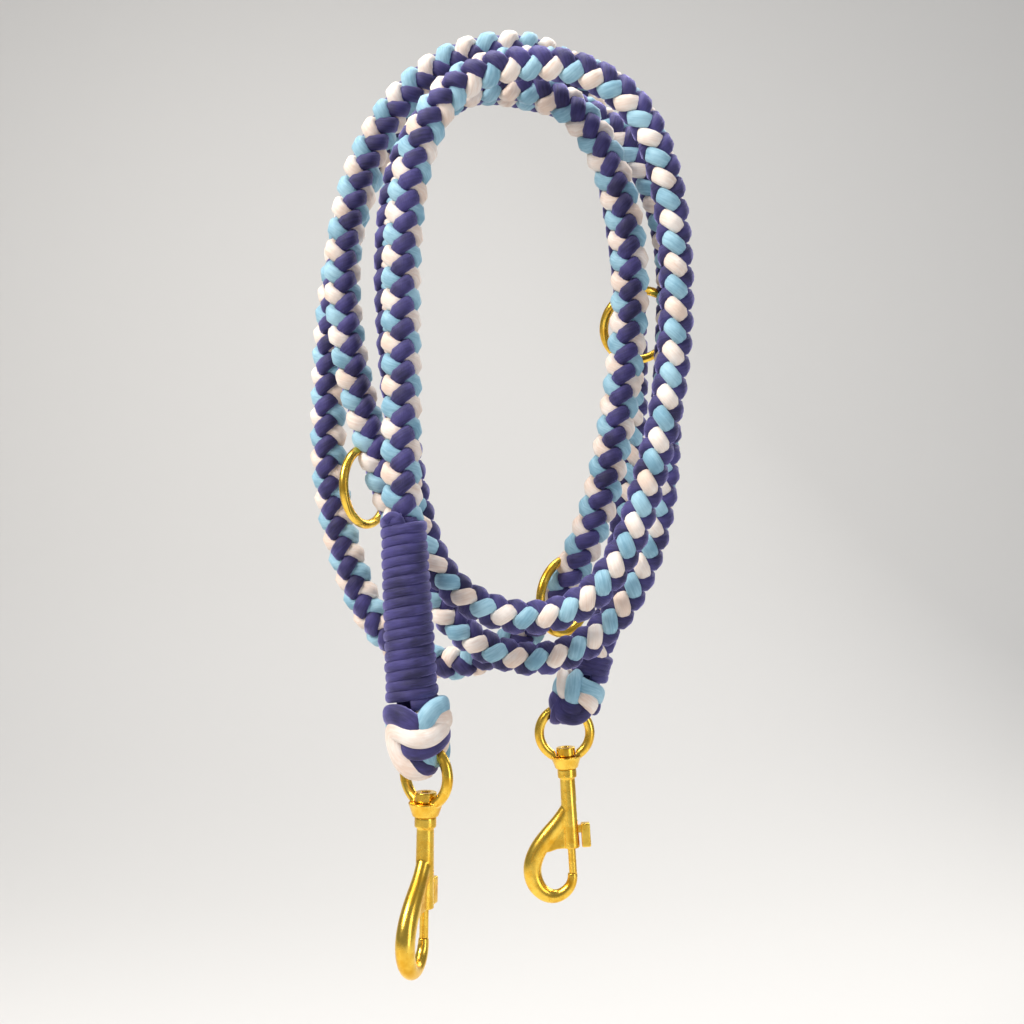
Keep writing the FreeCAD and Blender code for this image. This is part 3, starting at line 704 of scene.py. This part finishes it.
def cast_copy(node, name, voxel, rounds):
    """A cast-looking copy of a metal piece: the same shape with its joints blended and edges rounded."""
    piece = copy_of(node, name)
    select_only(piece)
    shape = bmesh.new()
    shape.from_mesh(piece.data)
    bmesh.ops.remove_doubles(shape, verts=shape.verts, dist=1e-6)
    shape.to_mesh(piece.data)
    shape.free()
    remesh = piece.modifiers.new("cast", "REMESH")
    remesh.mode = "VOXEL"
    remesh.voxel_size = voxel
    bpy.ops.object.modifier_apply(modifier="cast")
    relax = piece.modifiers.new("rounded", "SMOOTH")
    relax.factor = 0.5
    relax.iterations = rounds
    bpy.ops.object.modifier_apply(modifier="rounded")
    bpy.ops.object.shade_smooth()
    return piece


def paint(piece, material):
    """One material all over a piece."""
    piece.data.materials.clear()
    piece.data.materials.append(material)


class LEADROPE_OT_snaps(Operator):
    """Cast the swivel eyes and hooks and finish the bolts, thumb pieces, springs and plugs"""

    bl_idname = "leadrope.snaps"
    bl_label = "Bolt snaps"

    def execute(self, context):
        gold, steel = gold_finish(context.scene.lead_rope), spring_steel()
        for letter in "ab":
            for node, name, rounds in (("swivel_eye_", "cast_eye_", 7), ("hook_body_", "cast_hook_", 5)):
                piece = cast_copy(node + letter, name + letter, 0.28 * MM, rounds)
                paint(piece, gold)
                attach(piece, "eye_" + letter if node == "swivel_eye_" else "hook_" + letter)
                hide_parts(node + letter)
            for node in ("bolt_", "thumb_tab_", "bore_plug_"):
                paint(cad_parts[node + letter], gold)
            closing_spring(letter, steel)
        return {"FINISHED"}


class LEADROPE_OT_rings(Operator):
    """Finish the three rings that hang through the braid"""

    bl_idname = "leadrope.rings"
    bl_label = "Rings"

    def execute(self, context):
        gold = gold_finish(context.scene.lead_rope)
        for number in (1, 2, 3):
            paint(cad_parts["ring_%d" % number], gold)
        return {"FINISHED"}


# ---------------------------------------------------------------- stage
def plain_material(name, colour, roughness):
    """One even colour."""
    material, nodes, links, shader = new_material(name)
    shader.inputs["Base Color"].default_value = (*colour, 1.0)
    shader.inputs["Roughness"].default_value = roughness
    return material


def soft_light(name, place, target, size, power, colour):
    """A large soft lamp that looks at a point."""
    lamp = bpy.data.lights.new(name, "AREA")
    lamp.shape = "RECTANGLE"
    lamp.size, lamp.size_y = size
    lamp.energy = power
    lamp.color = colour
    holder = bpy.data.objects.new(name, lamp)
    bpy.context.scene.collection.objects.link(holder)
    holder.location = place
    holder.rotation_euler = (Vector(target) - Vector(place)).to_track_quat("-Z", "Y").to_euler()


class LEADROPE_OT_stage(Operator):
    """Set the pale floor, the soft lights and the camera"""

    bl_idname = "leadrope.stage"
    bl_label = "Stage"

    def execute(self, context):
        floor = bpy.data.objects.new("pale_floor", bpy.data.meshes.new("pale_floor"))
        context.scene.collection.objects.link(floor)
        select_only(floor)
        profile = [(-2.2, -0.62), (0.6, -0.62), (0.95, -0.60), (1.2, -0.52), (1.36, -0.38), (1.42, -0.1),
                   (1.42, 2.2)]
        shape = bmesh.new()
        rows = [[shape.verts.new((x, y, z)) for x in (-3.0, 3.0)] for y, z in profile]
        for low, high in zip(rows, rows[1:]):
            shape.faces.new((low[0], low[1], high[1], high[0]))
        shape.to_mesh(floor.data)
        shape.free()
        soften = floor.modifiers.new("round", "SUBSURF")
        soften.levels = soften.render_levels = 3
        bpy.ops.object.modifier_apply(modifier="round")
        bpy.ops.object.shade_smooth()
        paint(floor, plain_material("pale_floor", (0.67, 0.66, 0.645), 0.9))
        aim = (0.0, 0.0, -0.17)
        soft_light("key", (-0.95, -0.65, 0.75), aim, (0.5, 0.7), 25.0, (1.0, 0.96, 0.91))
        soft_light("fill", (1.1, -0.9, 0.0), aim, (0.5, 1.2), 6.0, (0.93, 0.96, 1.0))
        soft_light("top", (-0.1, 0.1, 1.0), aim, (0.8, 0.6), 14.0, (1.0, 1.0, 1.0))
        soft_light("rim", (0.7, 0.8, 0.4), aim, (0.4, 0.8), 7.0, (1.0, 0.98, 0.95))
        world = bpy.data.worlds.new("soft_sky")
        context.scene.world = world
        world.use_nodes = True
        world.node_tree.nodes["Background"].inputs["Color"].default_value = (0.86, 0.90, 0.96, 1.0)
        world.node_tree.nodes["Background"].inputs["Strength"].default_value = 0.27
        context.scene.view_settings.view_transform = "Standard"
        lens = bpy.data.cameras.new("camera")
        lens.sensor_width = 36.0
        lens.lens = 46.9
        lens.clip_start = 0.02
        holder = bpy.data.objects.new("camera", lens)
        context.scene.collection.objects.link(holder)
        holder.location = (-0.0027, -0.600, -0.181)
        holder.rotation_euler = (math.radians(90.0), 0.0, 0.0)
        context.scene.camera = holder
        return {"FINISHED"}


class LEADROPE_PT_panel(Panel):
    """Shows the rope's settings and the buttons that build its pieces"""

    bl_idname = "LEADROPE_PT_panel"
    bl_label = "Lead Rope"
    bl_space_type = "VIEW_3D"
    bl_region_type = "UI"
    bl_category = "Lead Rope"

    def draw(self, context):
        settings = context.scene.lead_rope
        for name in LeadRopeSettings.__annotations__:
            self.layout.prop(settings, name)
        for operator in OPERATORS:
            self.layout.operator(operator.bl_idname)


OPERATORS = (LEADROPE_OT_stage, LEADROPE_OT_braid, LEADROPE_OT_whippings, LEADROPE_OT_knots,
             LEADROPE_OT_snaps, LEADROPE_OT_rings)


def register():
    """Add the settings, the operators and the panel."""
    for item in (LeadRopeSettings, *OPERATORS, LEADROPE_PT_panel):
        bpy.utils.register_class(item)
    bpy.types.Scene.lead_rope = PointerProperty(type=LeadRopeSettings)


def unregister():
    """Take them away again."""
    del bpy.types.Scene.lead_rope
    for item in reversed((LeadRopeSettings, *OPERATORS, LEADROPE_PT_panel)):
        bpy.utils.unregister_class(item)


def main():
    """Build everything."""
    register()
    bpy.ops.leadrope.stage()
    bpy.ops.leadrope.braid()
    bpy.ops.leadrope.whippings()
    bpy.ops.leadrope.knots()
    bpy.ops.leadrope.snaps()
    bpy.ops.leadrope.rings()


if __name__ == "__main__":
    main()
